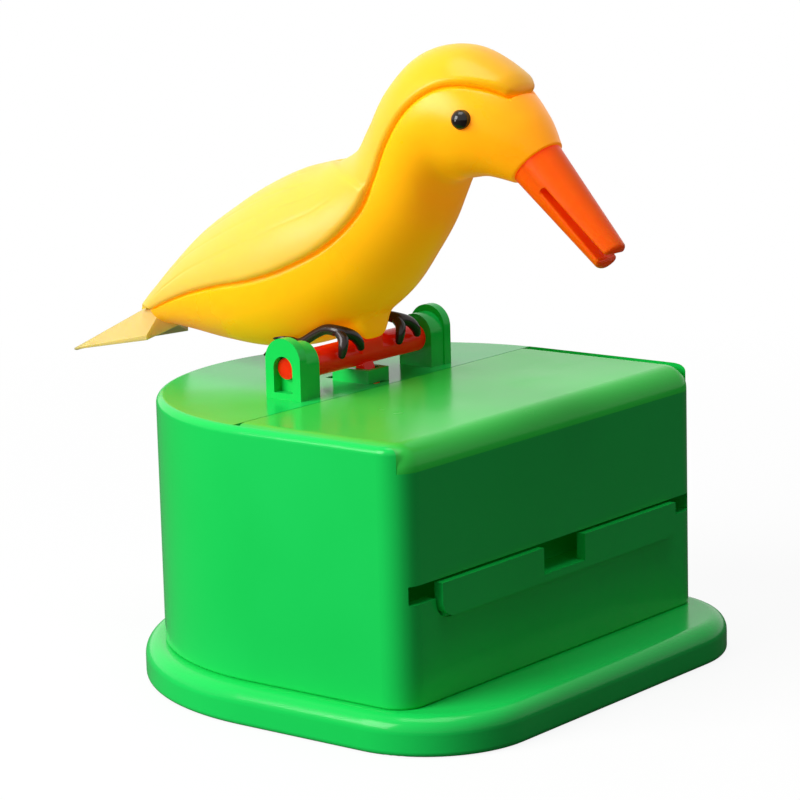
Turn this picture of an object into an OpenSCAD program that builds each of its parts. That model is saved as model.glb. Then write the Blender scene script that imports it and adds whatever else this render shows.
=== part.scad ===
// Toothpick dispenser: a bird on a perch bar bows over a D-shaped box and picks from its front trough.
// Millimetres. X is across (the bird's left is +X), -Y is the front, Z is up, z = 0 is the table.

/* [Base] */
// Overall width of the flanged base
base_w = 80.2; // [79.6:0.2:80.8]
// Height of the flange
flange_h = 5.75; // [5.5:0.25:6]
// Distance of the flange's front edge from the origin
base_front = 39.6; // [39:0.2:40.2]
// Plan radius of the flange's front corners
base_corner = 16.5; // [15:0.5:18]

/* [Case] */
// Outer width of the box
case_w = 74; // [73.6:0.2:74.4]
// Height of the deck over the table
case_h = 43.3; // [43.2:0.1:43.5]
// Distance of the box's front face from the origin
case_front = 28.9; // [28.7:0.1:29.1]
// Plan radius of the box's front corners
corner_r = 4.2; // [4:0.1:5]
// Wall thickness
wall = 2; // [1.8:0.1:2.2]
// Rounding of the top edge
edge_r = 1.2; // [1:0.1:1.5]

/* [Lid] */
// Half width of the lid between the side rims
lid_half = 35.85; // [35.5:0.05:35.85]
// Rounding of the lid's front edge
lid_edge_r = 3.5; // [3:0.1:3.5]

/* [Front trough] */
// Height of the wide slot over the trough
slot_h = 2.7; // [2.5:0.1:2.8]
// Width of the lip in front of the trough
lip_w = 58.5; // [57:0.5:59.5]
// How far the lip stands out of the front wall
lip_out = 1; // [0.7:0.1:1.3]
// Width of the notch for the beak
notch_w = 10.3; // [9:0.1:11]

/* [Perch] */
// Height of the perch axis over the table
perch_z = 47.85; // [47.8:0.05:47.9]
// Position of the perch axis behind the origin
perch_y = 7.8; // [7.7:0.1:7.9]
// Diameter of the bar
bar_d = 4.3; // [4.1:0.1:4.4]
// Diameter of the end pins
pin_d = 3.2; // [3:0.1:3.3]
// Running clearance round an end pin
pin_gap = 0.05; // [0.03:0.01:0.08]
// Forward lean of the spring arm at rest, in degrees
arm_lean = 20; // [19:0.5:20]

/* [Spring] */
// Coils of the return spring
coils = 12; // [10:1:13]
// Outer diameter of the coils
coil_d = 5; // [4.6:0.1:5]
// Wire diameter
wire_d = 0.5; // [0.4:0.05:0.6]

/* [View] */
// Piece to build, or all

/* [Hidden] */
$fn = 96;
green = [0.10, 0.72, 0.32];
red = [0.80, 0.10, 0.06];
yellow = [0.98, 0.80, 0.12];
orange = [0.95, 0.36, 0.08];
dark = [0.10, 0.06, 0.05];
steel = [0.72, 0.73, 0.75];

deck_t = 2;
seam_y = 2.2; // rear edge of the lid opening
lid_z = 39.5; // the lid's skirt reaches down to here
seam_gap = 0.15;
fit_gap = 0.1;
slot_top = 23.4;
slot_half = 35;
lip_z0 = 17.9;
lip_z1 = 23;
lip_r = 2.5;
lip_gap = 0.4;
trough_z = 19; // floor of the trough
slope = 0.72; // fall of the hopper floor
tray_t = 1.5;
tray_rear = 0.8;
trough_y = 24.7; // the slope ends here, in front of the origin
wall_in = case_w / 2 - wall; // inner face of the side walls
ear_in = 13.5; // faces of the ears, from the mirror plane
ear_mid = 16.6;
ear_out = 18.2;
column_y = -14;
column_r = 3.2;
column_x = wall_in - 2.8;
rear_column_a = 52;
arm_l = 14.5;
arm_t = 1.6;
arm_w = 2.4;
hook_z = 12; // height of the fixed spring pin
hook_y = -19.4;

// ---- shared shapes ----

// Half profile from the axis out to r, with a rounded top edge rt and bottom edge rb
module edge_profile(r, z0, z1, rt, rb) {
    translate([0, z0 + rb]) square([r, z1 - z0 - rt - rb]);
    if (rt > 0) {
        translate([0, z1 - rt]) square([r - rt, rt]);
        translate([r - rt, z1 - rt]) intersection() {
            circle(r = rt);
            square(rt + 1);
        }
    }
    if (rb > 0) {
        translate([0, z0]) square([r - rb, rb]);
        translate([r - rb, z0 + rb]) intersection() {
            circle(r = rb);
            translate([0, -rb - 1]) square(rb + 1);
        }
    }
}

// D-shaped block: half disc behind, straight sides, two rounded corners in front at y = -front
module d_block(half, front, rc, z0, z1, rt, rb) {
    cy = -front + rc;
    rotate_extrude(angle = 180) edge_profile(half, z0, z1, rt, rb);
    rotate([90, 0, 0]) linear_extrude(-cy) {
        edge_profile(half, z0, z1, rt, rb);
        mirror([1, 0]) edge_profile(half, z0, z1, rt, rb);
    }
    translate([half - rc, cy, 0]) rotate([0, 0, 270])
        rotate_extrude(angle = 90) edge_profile(rc, z0, z1, rt, rb);
    translate([rc - half, cy, 0]) rotate([0, 0, 180])
        rotate_extrude(angle = 90) edge_profile(rc, z0, z1, rt, rb);
    translate([rc - half, cy, 0]) rotate([90, 0, 90]) linear_extrude(2 * (half - rc))
        mirror([1, 0]) edge_profile(rc, z0, z1, rt, rb);
}

// The same shape with sharp edges, for cavities and spigots
module d_plain(half, front, rc, z0, z1) {
    cy = -front + rc;
    translate([0, 0, z0]) linear_extrude(z1 - z0) {
        difference() {
            circle(r = half);
            translate([-half - 1, -2 * half]) square([2 * half + 2, 2 * half]);
        }
        translate([-half, cy]) square([2 * half, -cy]);
        translate([rc - half, -front]) square([2 * (half - rc), rc]);
        translate([half - rc, cy]) circle(r = rc);
        translate([rc - half, cy]) circle(r = rc);
    }
}

// Places its child at the four screw columns
module at_columns() {
    for (s = [-1, 1]) {
        translate([s * column_x, column_y, 0]) children();
        translate([s * column_x * cos(rear_column_a), column_x * sin(rear_column_a), 0]) children();
    }
}

// Round-topped arch in the YZ plane, from x0 to x1, on the perch's centre line
module arch(w, z0, z1, x0, x1) {
    translate([x0, perch_y, 0]) rotate([90, 0, 90]) linear_extrude(x1 - x0) {
        translate([-w / 2, z0]) square([w, z1 - w / 2 - z0]);
        translate([0, z1 - w / 2]) circle(d = w);
    }
}

// Cylinder along X
module rod(d, x0, x1) {
    translate([x0, 0, 0]) rotate([0, 90, 0]) cylinder(d = d, h = x1 - x0);
}

// Block between two corner points
module block(a, b) {
    translate(a) cube(b - a);
}

// ---- base ----

module base_plate() color(green) {
    bracket_x = 4;
    difference() {
        union() {
            difference() {
                d_block(base_w / 2, base_front, base_corner, 0, flange_h, 2.5, 0.8);
                d_plain(base_w / 2 - 2.4, base_front - 2.4, base_corner - 2.4, -1, flange_h - 2);
            }
            difference() {
                d_plain(wall_in - fit_gap, case_front - wall - fit_gap,
                    corner_r - wall - fit_gap, flange_h - 1, flange_h + 3);
                d_plain(wall_in - 1.7, case_front - wall - 1.7, corner_r - wall - 1.7,
                    flange_h - 2, flange_h + 4);
                at_columns() translate([0, 0, flange_h]) cylinder(r = column_r + fit_gap, h = 5);
            }
            // underside: ribs, screw bosses and the foot in the middle
            for (x = [-20, 0, 20]) block([x - 0.7, -36, 0], [x + 0.7, 28, flange_h - 1]);
            for (y = [-24, 0]) block([-36, y - 0.7, 0], [36, y + 0.7, flange_h - 1]);
            at_columns() cylinder(d = 9, h = flange_h - 1);
            cylinder(d = 12, h = flange_h - 1);
            // brackets of the spring pin
            for (x = [-bracket_x - 2, bracket_x])
                block([x, hook_y - 3, flange_h - 1], [x + 2, hook_y + 3, hook_z + 2.6]);
        }
        at_columns() {
            translate([0, 0, -1]) cylinder(d = 5.8, h = 3.2);
            cylinder(d = 3.2, h = flange_h + 1);
        }
        translate([0, hook_y, hook_z]) rod(2.1, -10, 10);
    }
}

module base_screws() color(steel) {
    at_columns() difference() {
        union() {
            translate([0, 0, 0.4]) cylinder(d = 5.2, h = 1.8);
            translate([0, 0, 2]) cylinder(d = 2.6, h = 11);
        }
        for (a = [0, 90]) rotate([0, 0, a]) block([-1.5, -0.35, -1], [1.5, 0.35, 1.4]);
    }
}

// ---- case ----

// Underside of the hopper floor at y
function floor_under(y) = trough_z - tray_t + slope * (y + trough_y - 0.5);

// Outline of the lip in the XZ plane, grown by g
module lip_outline(g, top) {
    half = lip_w / 2 + g;
    r = lip_r + g;
    z0 = lip_z0 - g;
    translate([-half, z0 + r]) square([2 * half, top - z0 - r]);
    translate([r - half, z0]) square([2 * (half - r), r]);
    for (s = [-1, 1]) translate([s * (half - r), z0 + r]) circle(r = r);
}

module case_shell() color(green) {
    ledge_y = wall - case_front - 0.2;
    difference() {
        union() {
            difference() {
                d_block(case_w / 2, case_front, corner_r, flange_h, case_h, edge_r, 0.4);
                d_plain(wall_in, case_front - wall, corner_r - wall, flange_h - 1, case_h - deck_t);
                // seat of the lid
                block([-lid_half - fit_gap, -case_front - 1, lid_z], [lid_half + fit_gap, seam_y, case_h + 1]);
            }
            // wall across, under the front edge of the deck
            block([-wall_in - 0.5, seam_y - 1.2, 37.6], [wall_in + 0.5, seam_y + 0.6, case_h - deck_t]);
            block([-wall_in - 0.5, seam_y, case_h - deck_t - 1], [wall_in + 0.5, seam_y + 2, case_h - 0.5]);
            // sloping ledges that carry the hopper floor
            for (x = [-wall_in - 0.3, wall_in - 2.1]) translate([x, 0, 0]) rotate([90, 0, 90]) linear_extrude(2.4)
                polygon([[ledge_y, trough_z - tray_t], [0.5 - trough_y, trough_z - tray_t],
                    [tray_rear, floor_under(tray_rear)], [tray_rear, floor_under(tray_rear) - 3],
                    [2.5 - trough_y, trough_z - tray_t - 2.2], [ledge_y, trough_z - tray_t - 2.2]]);
            // screw columns
            at_columns() translate([0, 0, flange_h]) cylinder(r = column_r, h = 8.5);
            // ears
            for (s = [0, 1]) mirror([s, 0, 0]) {
                arch(6.3, case_h - 1, perch_z + 3.65, ear_in, ear_mid);
                arch(6.7, case_h - 1, perch_z + 4.65, ear_mid, ear_out);
            }
            // guide of the spring arm
            block([-2.45, perch_y - 3.5, case_h - 1], [2.45, perch_y + 3.6, perch_z - bar_d / 2 - 0.3]);
        }
        // wide slot, and the opening for the lip
        block([-slot_half, -case_front - 1, slot_top - slot_h], [slot_half, -case_front + corner_r, slot_top]);
        translate([0, -case_front + wall + 0.5, 0]) rotate([90, 0, 0]) linear_extrude(wall + 2)
            lip_outline(lip_gap, slot_top);
        // grooves for the lid's rails
        for (s = [0, 1]) mirror([s, 0, 0])
            block([wall_in - 1, -25, 37.2], [wall_in + 0.6, seam_y - 1.3, 38.1]);
        // windows and bores of the ears
        for (s = [0, 1]) mirror([s, 0, 0]) {
            arch(3.6, case_h + 1, perch_z + 1.95, ear_mid, ear_out + 1);
            translate([0, perch_y, perch_z]) rod(pin_d + 2 * pin_gap, ear_in - 1, ear_mid + 1);
        }
        // slot of the spring arm, open to the rear in the guide
        block([-1.4, perch_y - 3.9, case_h - deck_t - 1], [1.4, perch_y + 5.9, case_h + 0.01]);
        block([-1.4, perch_y - 2.7, case_h - 0.01], [1.4, perch_y + 5.9, perch_z]);
        at_columns() translate([0, 0, flange_h - 1]) cylinder(d = 2.7, h = 8.5);
    }
}

module lid() color(green) {
    rear = seam_y - seam_gap;
    difference() {
        union() {
            intersection() {
                d_block(case_w / 2, case_front, corner_r, lid_z, case_h, lid_edge_r, 0);
                block([-lid_half, -case_front - 1, lid_z - 1], [lid_half, rear, case_h + 1]);
            }
            // rails that run in the grooves of the case
            for (s = [0, 1]) mirror([s, 0, 0]) {
                block([wall_in - 1.5, -20, 37], [wall_in - 0.15, -1.5, lid_z + 0.3]);
                block([wall_in - 0.5, -20, 37.3], [wall_in + 0.45, -1.5, 38]);
            }
        }
        block([3.4 - lid_half, -case_front + 2.2, lid_z - 3], [lid_half - 3.4, rear + 1, case_h - 2]);
        block([2.3 - lid_half, -case_front + 2.2, lid_z], [lid_half - 2.3, rear + 1, case_h - 2]);
        block([-40, 0.4, lid_z - 3], [40, rear + 1, case_h - 2]);
    }
}

module hopper_tray() color(green) {
    lip_y = case_front + lip_out;
    difference() {
        union() {
            intersection() {
                translate([-40, 0, 0]) rotate([90, 0, 90]) linear_extrude(80)
                    polygon([[-30, trough_z], [-trough_y, trough_z],
                        [tray_rear - 0.2, trough_z + slope * (trough_y + tray_rear - 0.2)],
                        [tray_rear - 0.2, floor_under(tray_rear - 0.2)],
                        [0.5 - trough_y, trough_z - tray_t], [-30, trough_z - tray_t]]);
                d_plain(wall_in - fit_gap, case_front - wall - fit_gap, corner_r - wall - fit_gap, 10, 40);
            }
            translate([0, -lip_y + 1.5, 0]) rotate([90, 0, 0]) linear_extrude(1.5)
                lip_outline(0, lip_z1);
            block([-lip_w / 2 + 1, -lip_y + 0.5, lip_z0], [lip_w / 2 - 1, -case_front + wall + 1, trough_z]);
        }
        block([-notch_w / 2, -lip_y - 1, trough_z], [notch_w / 2, -lip_y + 3, lip_z1 + 1]);
    }
}

module spring_pin() color(steel) {
    translate([0, hook_y, hook_z]) {
        rod(2, -6.2, 6.4);
        rod(3.4, 6, 7);
    }
}

// ---- return spring: a wound wire between the arm's eye and the fixed pin ----

function arm_eye() = [perch_y - arm_l * sin(arm_lean), perch_z - arm_l * cos(arm_lean)];
function spring_len() = norm(arm_eye() - [hook_y, hook_z]);

// Centre line in the spring's own frame: along z from the pin's hook at 0 to the eye's hook
function wire_path() =
    let (len = spring_len(), r = (coil_d - wire_d) / 2, hook_r = 1.4, eye_r = 1.6, n = 14 * coils,
        body0 = 4.2, body1 = len - 5.4)
    concat(
        [for (a = [0:24:240]) [0, hook_r * sin(a - 240), hook_r * cos(a - 240)]],
        [[r * 0.45, 0, 2.2], [r * 0.9, 0, body0 - 0.7]],
        [for (i = [0:n]) [r * cos(360 * coils * i / n), r * sin(360 * coils * i / n),
            body0 + (body1 - body0) * i / n]],
        [[r * 0.9, 0, body1 + 0.7], [r * 0.45, 0, body1 + 1.5]],
        [for (a = [0:24:288]) [eye_r * sin(a), 0, len - eye_r - eye_r * cos(a)]]);

// Ring of points round the path at index i
function tube_ring(p, i, r, m) =
    let (a = p[max(i - 1, 0)], b = p[min(i + 1, len(p) - 1)], t = (b - a) / norm(b - a),
        ref = abs(t[2]) > 0.9 ? [1, 0, 0] : [0, 0, 1],
        u = cross(t, ref) / norm(cross(t, ref)), v = cross(t, u))
    [for (j = [0:m - 1]) p[i] + r * (cos(360 * j / m) * u + sin(360 * j / m) * v)];

// Tube of m sides along a path
module tube(p, r, m) {
    n = len(p);
    pts = [for (i = [0:n - 1]) each tube_ring(p, i, r, m)];
    polyhedron(pts, concat(
        [[for (j = [0:m - 1]) j]],
        [for (i = [0:n - 2]) for (j = [0:m - 1]) each
            let (a = i * m + j, b = i * m + (j + 1) % m)
            [[a, a + m, b], [b, a + m, b + m]]],
        [[for (j = [m - 1:-1:0]) (n - 1) * m + j]]));
}

module return_spring() color(steel) {
    d = arm_eye() - [hook_y, hook_z];
    translate([0, hook_y, hook_z]) rotate([-atan2(d[0], d[1]), 0, 0]) tube(wire_path(), wire_d / 2, 6);
}

// ---- perch bar with its pins, the tongue in the bird and the spring arm ----

module perch_bar() color(red) {
    translate([0, perch_y, perch_z]) {
        rod(bar_d, 0.1 - ear_in, ear_in - 0.1);
        rod(pin_d, -ear_mid - 0.8, ear_mid + 0.8);
        block([-2.4, -2.5, 0], [2.4, 2.5, 9]);
        rotate([-arm_lean, 0, 0]) difference() {
            union() {
                block([-arm_w / 2, -arm_t / 2, -arm_l], [arm_w / 2, arm_t / 2, 0]);
                translate([0, 0, -arm_l]) rod(4, -arm_w / 2, arm_w / 2);
            }
            translate([0, 0, -arm_l]) rod(2, -2, 2);
        }
    }
}

// ---- bird, in its own frame with the perch axis at the origin ----

// One rib a row: top y, top z, bottom y, bottom z, half width, seam angle from the top
ribs = [
    [-37.0, 33.8, -30.7, 27.6, 4.5, 6],
    [-34.4, 37.8, -26.4, 28.3, 6.6, 8],
    [-29.4, 42.7, -22.9, 27.9, 8.4, 34],
    [-22.4, 46.4, -19.8, 27.2, 9.3, 60],
    [-15.5, 45.6, -18.5, 25.2, 9.5, 75],
    [-10.1, 41.1, -17.5, 22.3, 9.3, 80],
    [-6.9, 35.9, -15.9, 19.0, 9.3, 84],
    [-4.0, 31.4, -12.7, 14.7, 9.9, 90],
    [1.6, 28.4, -7.6, 8.7, 11.3, 93],
    [8.4, 26.6, -0.3, 3.6, 12.5, 94],
    [14.7, 24.0, 7.3, 0.6, 13.0, 92],
    [20.7, 20.8, 15.3, -0.5, 12.3, 89],
    [27.0, 16.9, 22.9, -0.2, 10.7, 89],
    [33.3, 11.8, 30.4, 0.6, 8.2, 90],
    [39.3, 6.6, 37.0, 1.1, 5.3, 90],
    [44.1, 2.8, 42.5, 0.7, 3.5, 88]];
tail_tip = [60.7, -5.2]; // y, z
tail_ridge = [39, 5.5];
tail_root = [37.1, 0.8];
tail_corner = [5, 39.6, -0.4]; // x, y, z
tail_t = 1; // thickness of its edges
sub = 2; // rings to a rib
lip_ring = 3; // the crown shell starts on this ring
body_end = 28; // last ring of the lower moulding
back_end = 30;
wing_ring = 15; // the wings start on this ring
skin = 1.6; // wall of both mouldings
proud = 0.8; // the upper moulding stands this far out of the lower one
low_n = 24; // strips round the lower moulding
up_n = 16; // strips across the upper moulding

function spline(a, b, c, d, t) =
    0.5 * ((2 * b) + (c - a) * t + (2 * a - 5 * b + 4 * c - d) * t * t + (3 * b - a - 3 * c + d) * t * t * t);
function rib_at(s) =
    let (n = len(ribs), i = min(floor(s), n - 2))
    spline(ribs[max(i - 1, 0)], ribs[i], ribs[i + 1], ribs[min(i + 2, n - 1)], s - i);

// Point of ring k at angle a from the top, g outside the lower moulding's face
function skin_pt(k, a, g) =
    let (r = rib_at(k / sub), t = [r[0], r[1]], b = [r[2], r[3]], c = (t + b) / 2, h = norm(t - b) / 2,
        n = (t - b) / (2 * h), w = max(r[4] + g, 0.45 * r[4]), v = max(h + g, 0.45 * h) * cos(a))
    [w * sin(a), c[0] + n[0] * v, c[1] + n[1] * v];
function seam(k) = rib_at(k / sub)[5];
// Extra height of the upper moulding on ring k: the brim over the face, and the wings' front step
function lift(k) =
    0.6 * max(0, 1 - (k - lip_ring) / 4) + (k < wing_ring ? 0 : 0.5 * max(0, 1 - (k - wing_ring) / 13));

// Closed strip of wall: rings k0..k1, angles from the seam f0(k) over m strips, between two faces
function strip_pts(k0, k1, m, lower, g, raised = 0) =
    [for (k = [k0:k1]) for (j = [0:m])
        skin_pt(k, lower ? seam(k) + (360 - 2 * seam(k)) * j / m : seam(k) * (2 * j / m - 1),
            g + raised * lift(k))];

module back_shell() {
    m = up_n;
    n = back_end - lip_ring + 1;
    q = n * (m + 1);
    pts = concat(strip_pts(lip_ring, back_end, m, false, proud, 1),
        strip_pts(lip_ring, back_end, m, false, proud - skin));
    polyhedron(pts, concat(
        [for (i = [0:n - 2]) for (j = [0:m - 1]) each
            let (a = i * (m + 1) + j, b = a + 1, c = a + m + 1, d = c + 1)
            [[a, c, b], [b, c, d], [q + a, q + b, q + c], [q + b, q + d, q + c]]],
        [for (i = [0:n - 2]) each
            let (a = i * (m + 1), b = a + m + 1, c = a + m, d = b + m)
            [[a, q + a, b], [b, q + a, q + b], [c, d, q + c], [d, q + d, q + c]]],
        [for (j = [0:m - 1]) each
            let (a = j, b = j + 1, c = (n - 1) * (m + 1) + j, d = c + 1)
            [[a, b, q + a], [b, q + b, q + a], [c, q + c, d], [d, q + c, q + d]]]));
}

// The lower moulding closes over the top as far as the crown shell's lip: the face is one ring
module body_shell() {
    m = low_n;
    t = up_n;
    n = body_end + 1;
    low = n * (m + 1);
    cap = (lip_ring + 1) * (t - 1);
    q = low + cap;
    pts = concat(
        strip_pts(0, body_end, m, true, 0),
        [for (k = [0:lip_ring]) for (j = [1:t - 1]) skin_pt(k, seam(k) * (2 * j / t - 1), 0)],
        strip_pts(0, body_end, m, true, -skin),
        [for (k = [0:lip_ring]) for (j = [1:t - 1]) skin_pt(k, seam(k) * (2 * j / t - 1), -skin)]);
    // point j of the top strip on ring k: its two ends are the lower strip's ends
    function up(k, j) = j == 0 ? k * (m + 1) + m : j == t ? k * (m + 1) : low + k * (t - 1) + j - 1;
    polyhedron(pts, concat(
        [for (i = [0:n - 2]) for (j = [0:m - 1]) each
            let (a = i * (m + 1) + j, b = a + 1, c = a + m + 1, d = c + 1)
            [[a, c, b], [b, c, d], [q + a, q + b, q + c], [q + b, q + d, q + c]]],
        [for (k = [0:lip_ring - 1]) for (j = [0:t - 1]) each
            let (a = up(k, j), b = up(k, j + 1), c = up(k + 1, j), d = up(k + 1, j + 1))
            [[a, c, b], [b, c, d], [q + a, q + b, q + c], [q + b, q + d, q + c]]],
        [for (i = [lip_ring:n - 2]) each
            let (a = i * (m + 1), b = a + m + 1, c = a + m, d = b + m)
            [[a, q + a, b], [b, q + a, q + b], [c, d, q + c], [d, q + d, q + c]]],
        [for (j = [0:m - 1]) each
            let (a = j, b = j + 1, c = (n - 1) * (m + 1) + j, d = c + 1)
            [[a, b, q + a], [b, q + b, q + a], [c, q + c, d], [d, q + c, q + d]]],
        [for (j = [0:t - 1]) each
            let (a = up(0, j), b = up(0, j + 1), c = up(lip_ring, j), d = up(lip_ring, j + 1))
            [[a, b, q + a], [b, q + b, q + a], [c, q + c, d], [d, q + c, q + d]]]));
}

eye_y = -26.5;
eye_z = 37.35;
eye_x = 7.65; // floor of the eye socket
foot_x = 6.9;
beak_y = -33.97;
beak_z = 30.63;
beak_l = 19.7;
slit_u = 5; // the slit starts this far from the root
prong_u = 17.5; // centres of the round prong ends

module at_perch() {
    translate([0, perch_y, perch_z]) children();
}

module bird_body() color(yellow) at_perch() {
    difference() {
        union() {
            body_shell();
            translate([-4, 0, 0]) rotate([90, 0, 90]) linear_extrude(8)
                polygon([[-4.1, 7.0], [4.1, 2.7], [4.1, 10.6], [-4.1, 10.6]]);
        }
        block([-2.45, -2.55, -2], [2.45, 2.55, 9]);
        for (s = [-1, 1]) translate([s * eye_x, eye_y, eye_z]) rotate([0, s * 90, 0])
            cylinder(r = 1.5, h = 4, $fn = 24);
        for (s = [-1, 1]) translate([s * foot_x, 0, 0]) shank(0.03);
    }
}

// Roof-shaped tail: from the ridge down to two corners, and back to the tip
module tail() {
    cx = tail_corner[0];
    cy = tail_corner[1];
    cz = tail_corner[2];
    polyhedron([[0, tail_tip[0], tail_tip[1]], [0, tail_ridge[0], tail_ridge[1]], [cx, cy, cz], [-cx, cy, cz],
            [0, tail_root[0], tail_root[1]], [cx - 0.3, cy + 0.3, cz - tail_t],
            [0.3 - cx, cy + 0.3, cz - tail_t], [0, tail_tip[0] - 0.6, tail_tip[1] - tail_t],
            [0, tail_root[0] + 0.3, tail_root[1] - tail_t]],
        [[1, 0, 2], [1, 3, 0], [1, 2, 4], [1, 4, 3], [4, 5, 8], [4, 2, 5], [4, 6, 3], [4, 8, 6],
            [8, 5, 7], [8, 7, 6], [2, 7, 5], [2, 0, 7], [3, 6, 7], [3, 7, 0]]);
}

module bird_back() color(yellow) at_perch() {
    back_shell();
    tail();
}

// Profile of the beak seen from the side: u along it, v across, prongs with round ends
module beak_side() {
    difference() {
        translate([-1, -5]) square([prong_u + 1, 10]);
        polygon([[slit_u, -0.5], [beak_l + 1, -0.75], [beak_l + 1, 0.75], [slit_u, 0.5]]);
        translate([slit_u, 0]) circle(r = 0.5);
    }
    for (s = [-1, 1]) translate([prong_u, s * 1.65]) circle(r = 0.93);
}

module beak() color(orange) at_perch() translate([0, beak_y, beak_z]) rotate([135, 0, 0]) {
    intersection() {
        cylinder(r1 = 4, r2 = 2.45, h = beak_l);
        translate([-5, 0, 0]) rotate([90, 0, 90]) linear_extrude(10) rotate(90) beak_side();
    }
    translate([0, 0, -3]) cylinder(r = 2.3, h = 3.5);
}

module eye(s) color(dark) at_perch() translate([s * eye_x, eye_y, eye_z]) rotate([0, s * 90, 0]) {
    cylinder(r = 1.42, h = 0.9);
    intersection() {
        translate([0, 0, 0.55]) sphere(r = 1.42);
        cylinder(r = 2, h = 3);
    }
}

module eye_left() eye(1);
module eye_right() eye(-1);

// ---- feet: one limb each, from the hind claws under the belly over the bar to two front toes ----

// Round limb through the points, with round joints
module limb(p, r) {
    for (i = [0:len(p) - 2]) hull() {
        translate(p[i]) sphere(r = r, $fn = 14);
        translate(p[i + 1]) sphere(r = r, $fn = 14);
    }
}

hub = [0, -1.8, 4.2];
knee = [0, 2.8, 3.4];
hind = [0, 9.2, 2.1];

// The part of the foot that lies in the belly's groove, grown by g
module shank(g) {
    limb([knee, [0, 6.3, 1.5], hind, [0, 13, 2.6]], 0.7 + g);
}

module foot(s) color(dark) at_perch() translate([s * foot_x, 0, 0]) {
    limb([hub, [0, 0.7, 4.2], knee], 0.7);
    shank(0);
    limb([hind, [0, 11.1, 0.5], [0, 13.2, -0.7]], 0.5);
    limb([hub, [-0.4, -2.8, 3], [-1, -2.9, 0.8]], 0.68);
    limb([hub, [2.1, -2.7, 3.3], [3.6, -2.75, 1.3]], 0.68);
}

module foot_left() foot(1);
module foot_right() foot(-1);

base_plate();
case_shell();
lid();
hopper_tray();
perch_bar();
bird_body();
bird_back();
beak();
eye_left();
eye_right();
foot_left();
foot_right();
return_spring();
spring_pin();
base_screws();
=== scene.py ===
# %% [markdown]
# # A toothpick dispenser with a pecking bird
# The real thing is a handful of glossy plastic mouldings: a green box on a flanged base, a lid, a red
# perch bar between two ears, and a yellow bird made of two thin shells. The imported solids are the
# frame. This lesson dresses them: the box keeps its solids, the bird, its beak, its feet and the
# spring get finer surfaces worked out with numpy.

# %% Open the frame
import math

import bpy
import bmesh
import numpy as np
from mathutils import Matrix


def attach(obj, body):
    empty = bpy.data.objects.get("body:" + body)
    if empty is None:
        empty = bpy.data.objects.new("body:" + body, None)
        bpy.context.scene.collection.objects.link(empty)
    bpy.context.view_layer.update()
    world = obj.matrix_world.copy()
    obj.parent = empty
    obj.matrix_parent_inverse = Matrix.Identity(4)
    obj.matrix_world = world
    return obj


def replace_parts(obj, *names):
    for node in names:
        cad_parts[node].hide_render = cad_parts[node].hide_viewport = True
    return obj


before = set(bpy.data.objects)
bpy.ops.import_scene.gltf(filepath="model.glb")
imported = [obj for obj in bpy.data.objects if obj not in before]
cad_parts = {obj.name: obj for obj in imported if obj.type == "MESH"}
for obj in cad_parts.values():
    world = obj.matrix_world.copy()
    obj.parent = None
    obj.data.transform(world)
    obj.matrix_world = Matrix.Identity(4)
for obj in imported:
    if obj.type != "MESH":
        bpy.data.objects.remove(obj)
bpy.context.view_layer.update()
MM = 0.001
scene = bpy.context.scene
scene.view_settings.view_transform = "Standard"
print("solids:", sorted(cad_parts))

# %% [markdown]
# ## The camera
# The photograph was taken with a long lens from the front left, a little above the deck. The angles
# below came from fitting straight edges and outlines of known size, so the render can be laid over
# the photo.

# %% Camera
LENS_MM = 146.091
SENSOR_MM = 36.0
AZIMUTH = math.radians(51.331)
ELEVATION = math.radians(11.274)
ROLL = math.radians(-1.495)
DISTANCE = 483.932 * MM
AIM = np.array([-5.305, -3.937, 42.282]) * MM


def camera_axes(azimuth, elevation, roll):
    """Right, up and back vectors of a camera that looks at the aim point: spherical angles, then a
    turn about the line of sight."""
    back = np.array([-math.sin(azimuth) * math.cos(elevation),
                     -math.cos(azimuth) * math.cos(elevation), math.sin(elevation)])
    level = np.array([math.cos(azimuth), -math.sin(azimuth), 0.0])
    upright = np.cross(back, level)
    right = math.cos(roll) * level + math.sin(roll) * upright
    up = -math.sin(roll) * level + math.cos(roll) * upright
    return right, up, back


right, up, back = camera_axes(AZIMUTH, ELEVATION, ROLL)
camera_data = bpy.data.cameras.new("camera")
camera_data.lens = LENS_MM
camera_data.sensor_width = SENSOR_MM
camera_data.clip_start = 0.01
camera = bpy.data.objects.new("camera", camera_data)
scene.collection.objects.link(camera)
pose = np.eye(4)
pose[:3, 0], pose[:3, 1], pose[:3, 2] = right, up, back
pose[:3, 3] = AIM + DISTANCE * back
camera.matrix_world = Matrix(pose.tolist())
scene.camera = camera
print("camera at", np.round(pose[:3, 3] / MM, 1), "mm")

# %% [markdown]
# ## Small helpers for node trees
# Every finish below is a Principled surface with a few texture nodes, so a few helpers keep the
# recipes short: add a node, start a material, blend colours along a signal, and make relief.

# %% Node helpers


def add_node(tree, kind, **values):
    """A node of that kind, with its sockets or properties set by name."""
    made = tree.nodes.new(kind)
    for name, value in values.items():
        label = name.replace("_", " ")
        if label in made.inputs:
            made.inputs[label].default_value = value
        else:
            setattr(made, name, value)
    return made


def start_material(name):
    """A material with an empty tree, its Principled surface and the object's own coordinates."""
    made = bpy.data.materials.new(name)
    made.use_nodes = True
    tree = made.node_tree
    tree.nodes.clear()
    surface = tree.nodes.new("ShaderNodeBsdfPrincipled")
    output = tree.nodes.new("ShaderNodeOutputMaterial")
    tree.links.new(surface.outputs["BSDF"], output.inputs["Surface"])
    place = tree.nodes.new("ShaderNodeTexCoord").outputs["Object"]
    return made, tree, surface, place


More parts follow.
